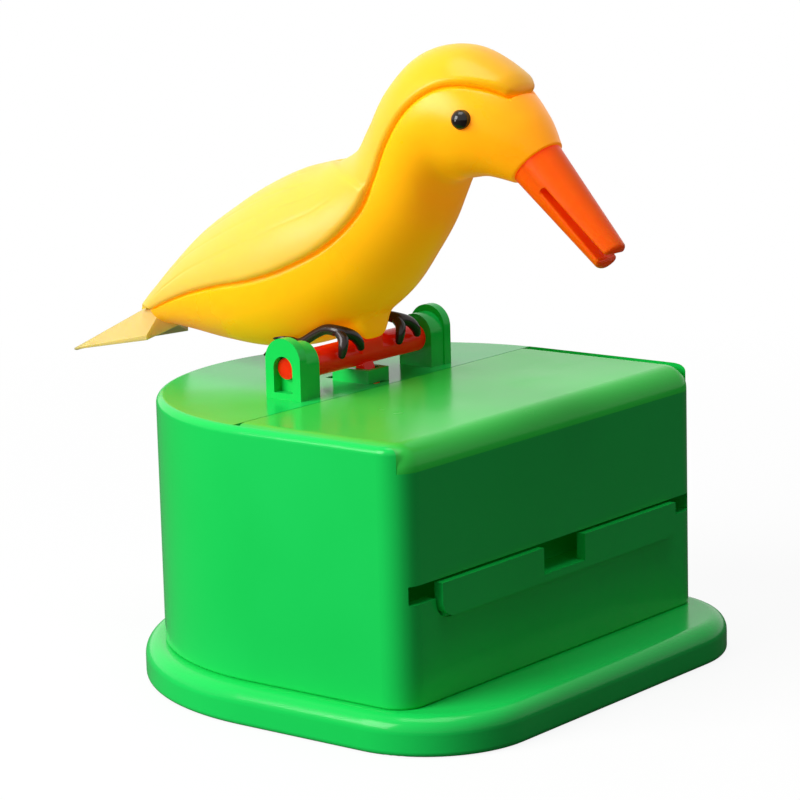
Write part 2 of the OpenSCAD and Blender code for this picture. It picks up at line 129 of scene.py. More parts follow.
def ramp(tree, source, stops):
    """A colour ramp: stops are (position, (r, g, b))."""
    made = tree.nodes.new("ShaderNodeValToRGB")
    elements = made.color_ramp.elements
    while len(elements) < len(stops):
        elements.new(0.5)
    for element, (position, colour) in zip(elements, stops):
        element.position = position
        element.color = (*colour, 1.0)
    tree.links.new(source, made.inputs["Fac"])
    return made.outputs["Color"]


def noise(tree, place, scale, detail=2.0):
    """Smooth noise of that scale (features per metre) on the object's own coordinates."""
    made = add_node(tree, "ShaderNodeTexNoise", Scale=scale, Detail=detail)
    tree.links.new(place, made.inputs["Vector"])
    return made.outputs["Fac"]


def bump(tree, surface, height, distance):
    """Shallow relief from a height signal, in metres."""
    made = add_node(tree, "ShaderNodeBump", Strength=1.0, Distance=distance)
    tree.links.new(height, made.inputs["Height"])
    tree.links.new(made.outputs["Normal"], surface.inputs["Normal"])


# %% [markdown]
# ## Moulded plastic
# Injection-moulded plastic is smooth but never perfect: the colour drifts a little with the flow of
# the melt, the gloss changes over a few centimetres, and a fine orange-peel ripple breaks the
# reflections. One recipe with a few settings makes every plastic piece, so that they look like one
# family. Translucent pieces let light wander inside. Painted shade turns their shaded side a deeper
# orange, and a painted glow, an emission, stands for the light that they let through.

# %% Plastic finish
# features per metre of the slow drift of colour and of gloss, and of the orange-peel ripple
COLOUR_DRIFT, GLOSS_DRIFT, RIPPLE = 28.0, 90.0, 900.0
RIPPLE_DEPTH = 0.0025 * MM
REFRACTION = 1.52


def plastic(name, colour, deeper, gloss, shine=0.3, glow=0.0, reach=None, depth=0.004,
            painted_shade=None, painted_shade_colour=None, painted_glow=0.0, painted_glow_colour=None):
    """Glossy plastic: slow noise drifts the base colour between deeper and colour, another drives
    the roughness, and a fine ripple bumps the normal. glow is the share of light that wanders
    inside, reach its way for red, green and blue. painted_shade is (direction, start, end): along
    that direction the colour turns smoothly into painted_shade_colour, a painted shade that makes
    the shaded side deeper orange. painted_glow is painted light: an emission of that strength, in
    painted_glow_colour, standing for the light that a thin, hollow, translucent moulding passes on
    from its lit side."""
    made, tree, surface, place = start_material(name)
    tint = ramp(tree, noise(tree, place, COLOUR_DRIFT, 3.0), [(0.30, deeper), (0.70, colour)])
    # Painted shade: along the given direction the base colour turns smoothly into a deeper orange, the
    # colour of the shaded side.
    if painted_shade:
        along = add_node(tree, "ShaderNodeVectorMath", operation="DOT_PRODUCT")
        along.inputs[1].default_value = painted_shade[0]
        tree.links.new(place, along.inputs[0])
        share = add_node(tree, "ShaderNodeMapRange", From_Min=painted_shade[1], From_Max=painted_shade[2])
        share.interpolation_type = "SMOOTHSTEP"
        tree.links.new(along.outputs["Value"], share.inputs["Value"])
        both = tree.nodes.new("ShaderNodeMixRGB")
        tree.links.new(share.outputs["Result"], both.inputs["Fac"])
        tree.links.new(tint, both.inputs["Color1"])
        both.inputs["Color2"].default_value = (*painted_shade_colour, 1.0)
        tint = both.outputs["Color"]
    tree.links.new(tint, surface.inputs["Base Color"])
    rough = add_node(tree, "ShaderNodeMapRange", From_Min=0.3, From_Max=0.7,
                     To_Min=gloss * 0.8, To_Max=gloss * 1.25)
    tree.links.new(noise(tree, place, GLOSS_DRIFT, 4.0), rough.inputs["Value"])
    tree.links.new(rough.outputs["Result"], surface.inputs["Roughness"])
    surface.inputs["IOR"].default_value = REFRACTION
    surface.inputs["Specular IOR Level"].default_value = shine
    if glow:
        surface.inputs["Subsurface Weight"].default_value = glow
        surface.inputs["Subsurface Radius"].default_value = reach
        surface.inputs["Subsurface Scale"].default_value = depth
    # Painted light: an emission makes the moulding glow, standing for light let through from its lit
    # side.
    if painted_glow:
        surface.inputs["Emission Color"].default_value = (*painted_glow_colour, 1.0)
        surface.inputs["Emission Strength"].default_value = painted_glow
    bump(tree, surface, noise(tree, place, RIPPLE, 1.0), RIPPLE_DEPTH)
    return made


case_green = plastic("case_green", (0.010, 0.600, 0.095), (0.007, 0.565, 0.080), 0.17, shine=0.16)
# Painted light: a faint green emission lifts the lid's shade.
lid_green = plastic("lid_green", (0.040, 0.500, 0.065), (0.028, 0.475, 0.055), 0.22, shine=0.14,
                    painted_glow=0.07, painted_glow_colour=(0.0, 1.0, 0.04))
# Painted light: a red emission makes the bar glow in the bird's shade.
bar_red = plastic("bar_red", (0.820, 0.030, 0.002), (0.760, 0.022, 0.001), 0.22, shine=0.14,
                  glow=0.5, reach=(1.0, 0.25, 0.03), depth=0.004,
                  painted_glow=0.16, painted_glow_colour=(1.0, 0.0, 0.0))
# Painted shade: the yellow turns orange towards the front and bottom, where the breast is in shade.
# Painted light: an orange emission lifts the shaded side of the body.
bird_yellow = plastic("bird_yellow", (0.960, 0.520, 0.004), (0.950, 0.490, 0.003), 0.30, shine=0.25,
                      glow=0.5, reach=(1.0, 0.42, 0.04), depth=0.008,
                      painted_shade=((0.0, -0.9, -0.45), -0.035, 0.012), painted_shade_colour=(0.960, 0.290, 0.002),
                      painted_glow=0.38, painted_glow_colour=(1.0, 0.27, 0.0))
# Painted shade: the pale yellow turns orange towards the shaded front of the crown. Painted light: a
# faint orange emission.
wing_yellow = plastic("wing_yellow", (0.900, 0.540, 0.085), (0.890, 0.515, 0.065), 0.34, shine=0.25,
                      glow=0.6, reach=(1.0, 0.65, 0.15), depth=0.008,
                      painted_shade=((0.0, -0.9, 0.45), 0.020, 0.060), painted_shade_colour=(0.930, 0.480, 0.002),
                      painted_glow=0.10, painted_glow_colour=(1.0, 0.50, 0.0))
tail_yellow = plastic("tail_yellow", (0.700, 0.480, 0.135), (0.680, 0.455, 0.115), 0.36,
                      glow=0.6, reach=(1.0, 0.70, 0.20), depth=0.004)
# Painted light: an orange-red emission lifts the beak's shade.
beak_orange = plastic("beak_orange", (0.950, 0.120, 0.002), (0.930, 0.095, 0.001), 0.30, shine=0.12,
                      glow=0.6, reach=(1.0, 0.25, 0.02), depth=0.004,
                      painted_glow=0.10, painted_glow_colour=(1.0, 0.06, 0.0))
eye_black = plastic("eye_black", (0.016, 0.010, 0.008), (0.010, 0.007, 0.006), 0.12, shine=0.35)
foot_brown = plastic("foot_brown", (0.034, 0.014, 0.012), (0.022, 0.009, 0.008), 0.24, shine=0.35)
print("plastic finishes:", [m.name for m in bpy.data.materials])

# %% [markdown]
# ## Spring and screw steel
# Drawn wire shines along fine drawing lines, so its roughness is streaked by stretched noise.

# %% Steel finish


def drawn_steel(name):
    """Metal with streaked roughness: noise stretched along X drives it."""
    made, tree, surface, place = start_material(name)
    stretch = add_node(tree, "ShaderNodeMapping", Scale=(1.0, 9.0, 9.0))
    tree.links.new(place, stretch.inputs["Vector"])
    lines = noise(tree, stretch.outputs["Vector"], 400.0, 3.0)
    tree.links.new(ramp(tree, lines, [(0.3, (0.50, 0.50, 0.52)), (0.7, (0.66, 0.66, 0.67))]),
                   surface.inputs["Base Color"])
    surface.inputs["Metallic"].default_value = 1.0
    rough = add_node(tree, "ShaderNodeMapRange", To_Min=0.18, To_Max=0.42)
    tree.links.new(lines, rough.inputs["Value"])
    tree.links.new(rough.outputs["Result"], surface.inputs["Roughness"])
    return made


steel = drawn_steel("steel")
print("finish:", steel.name)

# %% [markdown]
# ## Dress the solids that keep their shape
# The box, lid, base, tray and bar are exact solids already, so they only get their finish.

# %% Dress the solids
FINISH = {
    "base_plate": case_green, "case_shell": case_green, "hopper_tray": case_green, "lid": lid_green,
    "perch_bar": bar_red, "return_spring": steel, "spring_pin": steel, "base_screws": steel,
    "bird_body": bird_yellow, "bird_back": wing_yellow, "beak": beak_orange,
    "eye_left": eye_black, "eye_right": eye_black,
    "foot_left": foot_brown, "foot_right": foot_brown,
}


def dress(piece, finish):
    """Gives a piece its one finish."""
    piece.data.materials.clear()
    piece.data.materials.append(finish)


for name, finish in FINISH.items():
    dress(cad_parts[name], finish)
print("dressed:", len(FINISH), "solids")

# %% [markdown]
# ## Surfaces from grids
# A new piece is one or more grids of points worked out as whole arrays. These helpers turn such
# grids into a mesh, close them round and at their ends, and point the faces outwards.

# %% Grid helpers


def grid_faces(rows, columns, first, wrap, caps):
    """Quads between neighbouring rows and columns of a grid whose points start at index first. wrap
    joins the last column to the first, and caps close the first and last row with one face each."""
    index = first + np.arange(rows * columns).reshape(rows, columns)
    ahead = np.roll(index, -1, axis=1)
    last = columns if wrap else columns - 1
    quads = np.stack([index[:-1, :last], ahead[:-1, :last], ahead[1:, :last], index[1:, :last]], -1)
    faces = quads.reshape(-1, 4).tolist()
    if caps[0]:
        faces.append(index[0, ::-1].tolist())
    if caps[1]:
        faces.append(index[-1].tolist())
    return faces


def grid_piece(name, grids, finish, body, wrap=True, caps=(True, True), crease=None):
    """A mesh from grids[k][row, column, xyz] in metres. Edges sharper than crease stay sharp."""
    faces, points, first = [], [], 0
    for grid in grids:
        faces += grid_faces(*grid.shape[:2], first, wrap, caps)
        points.append(grid.reshape(-1, 3))
        first += grid.shape[0] * grid.shape[1]
    mesh = bpy.data.meshes.new(name)
    mesh.from_pydata(np.concatenate(points).tolist(), [], faces)
    worker = bmesh.new()
    worker.from_mesh(mesh)
    bmesh.ops.remove_doubles(worker, verts=worker.verts, dist=1e-7)
    bmesh.ops.dissolve_degenerate(worker, edges=worker.edges, dist=1e-8)
    bmesh.ops.recalc_face_normals(worker, faces=worker.faces)
    worker.to_mesh(mesh)
    worker.free()
    mesh.shade_smooth()
    if crease:
        mesh.set_sharp_from_angle(angle=math.radians(crease))
    piece = bpy.data.objects.new(name, mesh)
    scene.collection.objects.link(piece)
    dress(piece, finish)
    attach(piece, body)
    print(name, len(mesh.polygons), "faces")
    return piece


# %% [markdown]
# ## The bird's ribs
# The bird is lofted over ribs, as a boat is. Each rib is a tilted oval that stands across the bird:
# its top and bottom points in the mirror plane, its half width, and the angle at which the upper
# shell's edge crosses it. A Catmull-Rom curve carries every value smoothly from rib to rib.

# %% Ribs
PERCH = np.array([0.0, 7.8, 47.85])
RIBS = np.array([
    # top y, top z, bottom y, bottom z, half width, seam angle; mm from the perch axis
    [-37.0, 33.8, -30.7, 27.6, 4.5, 6],
    [-34.4, 37.8, -26.4, 28.3, 6.6, 8],
    [-29.4, 42.7, -22.9, 27.9, 8.4, 34],
    [-22.4, 46.4, -19.8, 27.2, 9.3, 60],
    [-15.5, 45.6, -18.5, 25.2, 9.5, 75],
    [-10.1, 41.1, -17.5, 22.3, 9.3, 80],
    [-6.9, 35.9, -15.9, 19.0, 9.3, 84],
    [-4.0, 31.4, -12.7, 14.7, 9.9, 90],
    [1.6, 28.4, -7.6, 8.7, 11.3, 93],
    [8.4, 26.6, -0.3, 3.6, 12.5, 94],
    [14.7, 24.0, 7.3, 0.6, 13.0, 92],
    [20.7, 20.8, 15.3, -0.5, 12.3, 89],
    [27.0, 16.9, 22.9, -0.2, 10.7, 89],
    [33.3, 11.8, 30.4, 0.6, 8.2, 90],
    [39.3, 6.6, 37.0, 1.1, 5.3, 90],
    [44.1, 2.8, 42.5, 0.7, 3.5, 88],
])


def catmull(rows, s):
    """Catmull-Rom curve through the rows of a table, at the places s (0 at the first row): a cubic
    blend of the four rows around each place."""
    count = len(rows)
    i = np.clip(np.floor(s).astype(int), 0, count - 2)
    t = (s - i)[:, None]
    a, b, c, d = (rows[np.clip(i + k, 0, count - 1)] for k in (-1, 0, 1, 2))
    return 0.5 * (2 * b + (c - a) * t + (2 * a - 5 * b + 4 * c - d) * t**2
                  + (3 * b - a - 3 * c + d) * t**3)


def rib_at(s):
    """Rib values at the places s, 0 at the beak."""
    return catmull(RIBS, s)


def skin_points(s, angle, out):
    """Points of the bird in metres. s is one value a row; angle (from the top, in radians) and out
    (mm outside the lower shell's face) are arrays of rows by columns: centre of the rib plus half
    its height times the cosine, and its half width times the sine."""
    values = rib_at(s)
    top, bottom, width = values[:, None, 0:2], values[:, None, 2:4], values[:, None, 4]
    centre = (top + bottom) / 2
    height = np.linalg.norm(top - bottom, axis=2) / 2
    lean = (top - bottom) / (2 * height[..., None])
    upward = np.maximum(height + out, 0.45 * height) * np.cos(angle)
    across = np.maximum(width + out, 0.45 * width) * np.sin(angle)
    plane = centre + lean * upward[..., None]
    points = np.stack([across, plane[..., 0] + PERCH[1], plane[..., 1] + PERCH[2]], -1)
    return points * MM


def seam_angle(s):
    """Angle of the upper shell's edge at the places s, in radians."""
    return np.radians(rib_at(s)[:, 5])


def soft_step(x):
    """0 below 0, 1 above 1, and a smooth cubic between."""
    t = np.clip(x, 0, 1)
    return t * t * (3 - 2 * t)


print("ribs:", len(RIBS))

# %% [markdown]
# ## The lower shell
# One closed skin makes the lower shell: it shows the face, breast and belly. It dips by a wall's
# thickness where the upper shell lies on it, and a little more in a narrow groove along that edge,
# which is what draws the fine dark line on the real bird. Under the belly it swells down on to the
# bar, and round the beak it turns in over a small round rim.

# %% Lower shell
BODY_END = 14.0  # places along the ribs
CROWN_START = 1.56
RIM_R = 0.45  # rim round the beak, mm
LAP_DEPTH = 1.0  # dip under the upper shell
GROOVE_DEPTH = 0.35
GROOVE_HALF = 1.6  # half width of the seam's groove, degrees
BAR_TOP = 1.9  # the saddle reaches down to here above the perch axis
SADDLE_Y, SADDLE_X = 3.2, 3.3  # half length and half width of the saddle
FAR_OFF = 9  # stands for a place across that the saddle doesn't reach


def lower_shell():
    """The loft from beak to rump: rim rows, then even rows, then rows that pull the end round. Out
    is the sum of the seam's dip, its groove and the saddle on the bar, each a smooth bump of place."""
    turn = np.linspace(np.pi / 2, 0, 8)[:, None]
    rim_s = -0.10 * np.sin(turn[:, 0])
    rim_out = -RIM_R * (1 - np.cos(turn))
    tail_turn = np.linspace(0, np.pi / 2, 10)[1:, None]
    s = np.concatenate([[0.30], rim_s, np.linspace(0, BODY_END, 290)[1:],
                        BODY_END + 0.12 * np.sin(tail_turn[:, 0])])
    ends = np.concatenate([[[-1.6]], rim_out, np.zeros((289, 1)), -1.2 * (1 - np.cos(tail_turn))])
    angle = np.linspace(-np.pi, np.pi, 240, endpoint=False)[None, :] + 0 * ends
    edge = np.where(s < CROWN_START, 0, seam_angle(s))[:, None]
    past = np.degrees(np.abs(angle) - edge)
    inside = soft_step(-past / 3)
    grooved = (edge > 0) * (s[:, None] < BODY_END)
    groove = GROOVE_DEPTH * np.exp(-((past - 1) / GROOVE_HALF)**2) * grooved
    values = rib_at(s)
    bottom_y, bottom_z, width = values[:, 2:3], values[:, 3:4], values[:, 4:5]
    across = np.where(np.abs(angle) > np.pi / 2, width * np.sin(angle), FAR_OFF)
    drop = np.clip(bottom_z - BAR_TOP, 0, None)
    saddle = drop * np.exp(-(bottom_y / SADDLE_Y)**6 - (across / SADDLE_X)**4)
    out = ends - LAP_DEPTH * inside - groove * (1 - inside) + saddle
    return grid_piece("bird_lower_shell", [skin_points(s, angle, out)], bird_yellow, "bird",
                      crease=50)


lower = lower_shell()
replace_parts(lower, "bird_body")

# %% [markdown]
# ## The upper shell
# Crown, nape and wings are one thin moulding. Its section is a strip with round edges: along the
# outer face, round the edge, and back along the inner face. The outer face is raised to a thick brim
# over the forehead, and again behind the shoulder, where the wings start with a step. Faint grooves
# along the wings stand for the feathers.

# %% Upper shell
PROUD = 0.7  # the outer face stands this far out of the lower shell, mm
BACK_END = 15.0
RUMP_START = 13.9  # the shell narrows and thins from here on
BRIM, WING_STEP, FEATHER = 0.6, 0.5, 0.07  # heights of the relief, mm
FEATHERS = ((0.20, -0.020), (0.40, -0.012), (0.58, 0.0), (0.76, 0.010))  # share at MID_WING, slant
MID_WING, FEATHER_HALF = 11, 0.014


def shell_lift(s, angle):
    """Extra height of the outer face in mm: brim over the face, step and swell of the wings, and
    grooves at slanting shares of the way from ridge to edge, all products of smooth steps."""
    degrees = np.abs(np.degrees(angle))
    brim = BRIM * soft_step((s - 1.45) / 0.5) * (1 - soft_step((s - 1.5) / 2))
    start = 8.1 - 0.0215 * degrees
    wing = WING_STEP * soft_step((s - start) / 0.22) * (1 - soft_step((s - 7.5) / 6.5))
    share = degrees / 90
    window = soft_step((s - start - 0.6) / 0.8) * (1 - soft_step((s - 12.6) / 1.6))
    lines = sum(np.exp(-((share - at - slant * (s - MID_WING)) / FEATHER_HALF)**2)
                for at, slant in FEATHERS)
    return brim + wing - FEATHER * window * lines


def upper_shell():
    """A strip with round edges: a row runs round the strip's section, and the first and last rows
    pinch it to a line so that the ends are round too."""
    ends, middle = 14, 236
    ease = 1 - np.cos(np.linspace(0, np.pi / 2, ends))
    rise = np.sin(np.linspace(0, np.pi / 2, ends))
    s = np.concatenate([CROWN_START + 0.16 * ease,
                        np.linspace(CROWN_START + 0.16, BACK_END - 0.12, middle)[1:-1],
                        BACK_END - 0.12 * ease[::-1]])[:, None]
    thick = np.concatenate([rise, np.ones(middle - 2), rise[::-1]])[:, None]
    face = np.linspace(-1, 1, 180)
    hidden = np.linspace(1, -1, 40)
    turn = np.linspace(np.pi / 2, -np.pi / 2, 12)[1:-1]
    nose = np.clip((s - CROWN_START) / 0.14, 0, 1)
    rump = soft_step((s - RUMP_START) / (BACK_END - RUMP_START))
    rounding = 0.1 + 0.9 * np.sqrt(1 - (1 - nose)**2)
    edge = seam_angle(s[:, 0])[:, None] * rounding * (1 - 0.75 * rump)
    thick = thick * (1 - 0.8 * rump)
    outer_edge = PROUD + shell_lift(s, edge)
    half = (outer_edge + PROUD) / 2
    middle_out = (outer_edge - PROUD) / 2
    round_off = half / rib_at(s[:, 0])[:, 4:5]
    flat = edge - round_off
    angle = np.concatenate([face * flat, flat + round_off * np.cos(turn), hidden * flat,
                            -flat - round_off * np.cos(turn[::-1])], 1)
    out = np.concatenate([PROUD + shell_lift(s, face * flat), middle_out + half * np.sin(turn),
                          -PROUD + 0 * (hidden * flat), middle_out + half * np.sin(turn[::-1])], 1)
    return grid_piece("bird_upper_shell", [skin_points(s[:, 0], angle, thick * out)], wing_yellow,
                      "bird", caps=(False, False))


upper = upper_shell()

# %% [markdown]
# ## The tail
# The tail is a thin roof: a ridge that runs straight to the tip, and two slopes that fall to the
# corners. Each slope is a little hollow, so the ridge catches a line of light.

# %% Tail
TAIL_TIP = np.array([0.0, 60.6, -5.3])
TAIL_RIDGE = np.array([0.0, 39.0, 5.4])
TAIL_CORNER = np.array([4.9, 39.7, -0.5])
TAIL_ROOT = np.array([0.0, 37.2, 0.6])
TAIL_THICK = 0.8


def roof_tail():
    """Ridge and edges are straight lines to the tip; a point of the top lies between them by the
    1.25th power of its share across, and one of the underside lies evenly between the edge, a
    little lower, and a line from the root to the tip. The first row joins the two halfway."""
    along = np.concatenate([[0], np.linspace(0, 1, 60)])[:, None, None]
    across = np.linspace(-1, 1, 61)[None, :, None]
    corner = np.sign(across) * TAIL_CORNER * [1, 0, 0] + TAIL_CORNER * [0, 1, 1]
    edge = corner * (1 - along) + TAIL_TIP * along
    share = np.abs(across)**1.25
    top = (TAIL_RIDGE * (1 - along) + TAIL_TIP * along) * (1 - share) + edge * share
    low_line = TAIL_ROOT * (1 - along) + (TAIL_TIP - [0, 0.5, 0.3]) * along
    low_edge = edge - np.array([0, 0, TAIL_THICK]) * (1 - 0.7 * along)
    under = low_line * (1 - np.abs(across)) + low_edge * np.abs(across)
    halfway = (top[:1] + under[:1]) / 2
    top, under = np.concatenate([halfway, top[1:]]), np.concatenate([halfway, under[1:]])
    points = np.concatenate([top, under[:, ::-1]], 1) + PERCH
    return grid_piece("bird_tail", [points * MM], tail_yellow, "bird", crease=35)


tail = roof_tail()
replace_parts(upper, "bird_back")
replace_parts(tail, "bird_back")

# %% [markdown]
# ## The beak
# The beak is a blunt cone, sawn open by a slit that starts round and widens to the tip. Here it is
# two prongs: each has a D-shaped section, bounded by the cone outside and by the slit inside, with
# small fillets where the two meet. In the root the slit has no width and the halves touch.

# %% Beak
BEAK_ROOT = np.array([0.0, -33.97, 30.63])
BEAK_R0, BEAK_R1, BEAK_LONG = 4.00, 2.45, 19.7
SLIT_START, SLIT_R, SLIT_GROWTH, FILLET = 5.0, 0.5, 0.25, 0.28
PRONG_END, PRONG_R, PRONG_MID = 17.5, 0.88, 1.65


def prong(side):
    """Section in the plane across the beak: an arc of the cone's radius, a fillet, the flat of the
    slit, a fillet. Past the prong's end the section shrinks as a circle's height does."""
    u = np.concatenate([np.linspace(-1.0, SLIT_START - SLIT_R, 24)[:-1],
                        SLIT_START - SLIT_R * np.cos(np.linspace(0, np.pi / 2, 14)),
                        np.linspace(SLIT_START, PRONG_END, 60)[1:],
                        PRONG_END + PRONG_R * np.sin(np.linspace(0, np.pi / 2, 14))[1:]])[:, None]
    radius = BEAK_R0 - (BEAK_R0 - BEAK_R1) * np.clip(u, -1, PRONG_END) / BEAK_LONG
    before = SLIT_START - np.minimum(u, SLIT_START)
    round_start = np.sqrt(np.clip(SLIT_R**2 - before**2, 0, None))
    slit_long = BEAK_LONG + 1 - SLIT_START
    gap = round_start + SLIT_GROWTH * np.clip((u - SLIT_START) / slit_long, 0, None)
    fillet = np.minimum(FILLET, 0.7 * gap) + 0.001
    middle = np.sqrt((radius - fillet)**2 - (gap + fillet)**2)
    first = np.arctan2(gap + fillet, middle)
    sweep = np.linspace(0, 1, 60)[None, :]
    arc = first + (np.pi - 2 * first) * sweep
    bend = np.linspace(0, 1, 9)[None, 1:]
    left = np.pi - first + (np.pi / 2 + first) * bend
    right_turn = -np.pi / 2 + (np.pi / 2 + first) * bend[:, :-1]
    flat = np.linspace(-1, 1, 14)[None, 1:]
    w = np.concatenate([radius * np.cos(arc), -middle + fillet * np.cos(left), middle * flat,
                        middle + fillet * np.cos(right_turn)], 1)
    v = np.concatenate([radius * np.sin(arc), gap + fillet + fillet * np.sin(left), gap + 0 * flat,
                        gap + fillet + fillet * np.sin(right_turn)], 1)
    shrink = np.sqrt(np.clip(1 - (np.clip(u - PRONG_END, 0, None) / PRONG_R)**2, 0, 1))
    w = w * shrink
    v = side * (PRONG_MID + (v - PRONG_MID) * shrink)
    forward = np.array([0, -1, -1]) / math.sqrt(2)
    upward = np.array([0, -1, 1]) / math.sqrt(2)
    points = u[..., None] * forward + v[..., None] * upward + w[..., None] * np.array([1.0, 0, 0])
    return (points + BEAK_ROOT + PERCH) * MM


beak = grid_piece("split_beak", [prong(1), prong(-1)], beak_orange, "bird",
                  crease=50)
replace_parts(beak, "beak")

# %% [markdown]
# ## Round limbs
# Toes, claws and the wound spring are all round bars along a path. The section is carried along the
# path without twisting, and half-round ends close it.

# %% Round bar along a path


def carried_frames(path):
    """Two unit vectors across the path at each point. The first frame is carried from point to
    point by taking away what leans along the new direction, so it never twists."""
    ahead = np.gradient(path, axis=0)
    ahead = ahead / np.linalg.norm(ahead, axis=1, keepdims=True)
    side = np.cross(ahead[0], [0.31, 0.87, 0.38])
    sides = []
    for direction in ahead:
        side = side - direction * (side @ direction)
        side = side / np.linalg.norm(side)
        sides.append(side)
    sides = np.array(sides)
    return ahead, sides, np.cross(ahead, sides)


def round_bar(path, radius, columns=20):
    """Circle of the given radius at each path point, plus half-round ends: rows that step out along
    the path by the sine of an angle while the radius falls by its cosine. Path in mm."""
    ahead, side, other = carried_frames(path)
    cap = np.linspace(0, np.pi / 2, 8)[1:]
    repeat = np.ones((len(cap), 1))
    start = path[0] - ahead[0] * radius[0] * np.sin(cap[::-1, None])
    end = path[-1] + ahead[-1] * radius[-1] * np.sin(cap[:, None])
    centre = np.concatenate([start, path, end])
    size = np.concatenate([radius[0] * np.cos(cap[::-1]), radius, radius[-1] * np.cos(cap)])
    side = np.concatenate([repeat * side[0], side, repeat * side[-1]])
    other = np.concatenate([repeat * other[0], other, repeat * other[-1]])
    angle = np.linspace(0, 2 * np.pi, columns, endpoint=False)[None, :, None]
    ring = np.cos(angle) * side[:, None] + np.sin(angle) * other[:, None]
    return (centre[:, None] + size[:, None, None] * ring) * MM


def smooth_path(knots, steps=12):
    """Points of the Catmull-Rom curve through the knots, steps of them to a span."""
    spans = len(knots) - 1
    return catmull(np.asarray(knots, float), np.linspace(0, spans, steps * spans + 1))


# %% [markdown]
# ## The feet
# Each foot is one dark moulding that clips over the bar: two hind claws behind, a long arching
# limb, and two toes draped over the front of the bar. Every limb thickens at its joints and thins
# to its claw, so each knot holds a place and a radius.

# %% Feet
FOOT_X = 6.9
FOOT_LIMBS = [
    # x, y, z from the perch axis (x from the foot's middle), radius
    [[0.0, 13.3, 2.90, 0.22], [0.0, 11.2, 2.40, 0.58], [0.0, 9.2, 2.10, 0.84],
     [0.0, 6.3, 1.65, 0.74], [0.0, 2.8, 3.45, 0.74], [0.0, 0.7, 4.25, 0.80],
     [0.2, -1.8, 4.05, 0.92], [2.0, -2.65, 3.30, 0.84], [3.1, -2.90, 2.20, 0.76],
     [3.6, -2.80, 1.30, 0.60]],
    [[0.0, 9.0, 2.00, 0.70], [0.0, 11.1, 0.60, 0.54], [0.0, 13.3, -0.80, 0.18]],
    [[0.0, -1.6, 4.00, 0.80], [-0.4, -2.75, 3.10, 0.80], [-0.8, -3.00, 1.90, 0.74],
     [-1.0, -2.90, 0.80, 0.58]],
]


def foot(name, middle):
    """Three round bars on Catmull-Rom paths, shifted to the foot's place on the bar."""
    grids = []
    for limb in FOOT_LIMBS:
        path = smooth_path(limb)
        grids.append(round_bar(path[:, :3] + PERCH + [middle, 0, 0], path[:, 3]))
    return grid_piece(name, grids, foot_brown, "bird")


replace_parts(foot("left_foot", FOOT_X), "foot_left")
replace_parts(foot("right_foot", -FOOT_X), "foot_right")

# %% [markdown]
# ## The return spring
# An extension spring of round wire, hooked on the arm's eye above and on a steel pin below. The
# path is a helix between two bent hooks, laid along the line from pin to eye.

# %% Return spring
PIN = np.array([-19.4, 12.0])
ARM_LONG, ARM_LEAN = 14.5, math.radians(20)
EYE = PERCH[1:] - ARM_LONG * np.array([math.sin(ARM_LEAN), math.cos(ARM_LEAN)])
COILS, COIL_R, WIRE_R, HOOK_R, EYE_R = 12, 2.25, 0.25, 1.4, 1.6
LOW_HOOK, HIGH_HOOK = 4.2, 5.4  # lengths that the hooks take at either end
LOW_TURN, HIGH_TURN = math.radians(240), math.radians(288)  # how far the hooks bend


def spring_path():
    """Hook arc, helix with a constant rise, and eye arc in the spring's own frame, then the turn
    that lays its z axis along the line from pin to eye."""
    line = EYE - PIN
    long = float(np.hypot(*line))
    body = (LOW_HOOK, long - HIGH_HOOK)
    low = np.linspace(0, LOW_TURN, 25) - LOW_TURN
    turn = np.linspace(0, 2 * np.pi * COILS, 40 * COILS)
    high = np.linspace(0, HIGH_TURN, 30)
    zero = np.zeros_like
    pieces = [np.stack([zero(low), HOOK_R * np.sin(low), HOOK_R * np.cos(low)], 1),
              [[COIL_R * 0.45, 0, 2.2], [COIL_R * 0.9, 0, body[0] - 0.7]],
              np.stack([COIL_R * np.cos(turn), COIL_R * np.sin(turn),
                        body[0] + (body[1] - body[0]) * turn / turn[-1]], 1),
              [[COIL_R * 0.9, 0, body[1] + 0.7], [COIL_R * 0.45, 0, body[1] + 1.5]],
              np.stack([EYE_R * np.sin(high), zero(high), long - EYE_R - EYE_R * np.cos(high)], 1)]
    path = np.concatenate(pieces)
    tilt = math.atan2(line[0], line[1])
    y = math.cos(tilt) * path[:, 1] + math.sin(tilt) * path[:, 2]
    z = -math.sin(tilt) * path[:, 1] + math.cos(tilt) * path[:, 2]
    return np.stack([path[:, 0], y + PIN[0], z + PIN[1]], 1)


wire = spring_path()
winding = round_bar(wire, np.full(len(wire), WIRE_R), 12)
spring = grid_piece("wound_spring", [winding], steel, "case")
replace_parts(spring, "return_spring")

# %% [markdown]
# ## The floor
# The photograph is a product shot on plain white. Near the object the floor mixes a little lit
# surface into its white, which keeps the shadow, and further off it is white alone. To all other
# light it is a dim grey, so the front of the box stays in shade as it does in the photograph.

# %% Floor
FLOOR_DROP = 0.02 * MM
NEAR, FAR = 80 * MM, 300 * MM
NEAR_WHITE = 0.90
GREY = 0.14


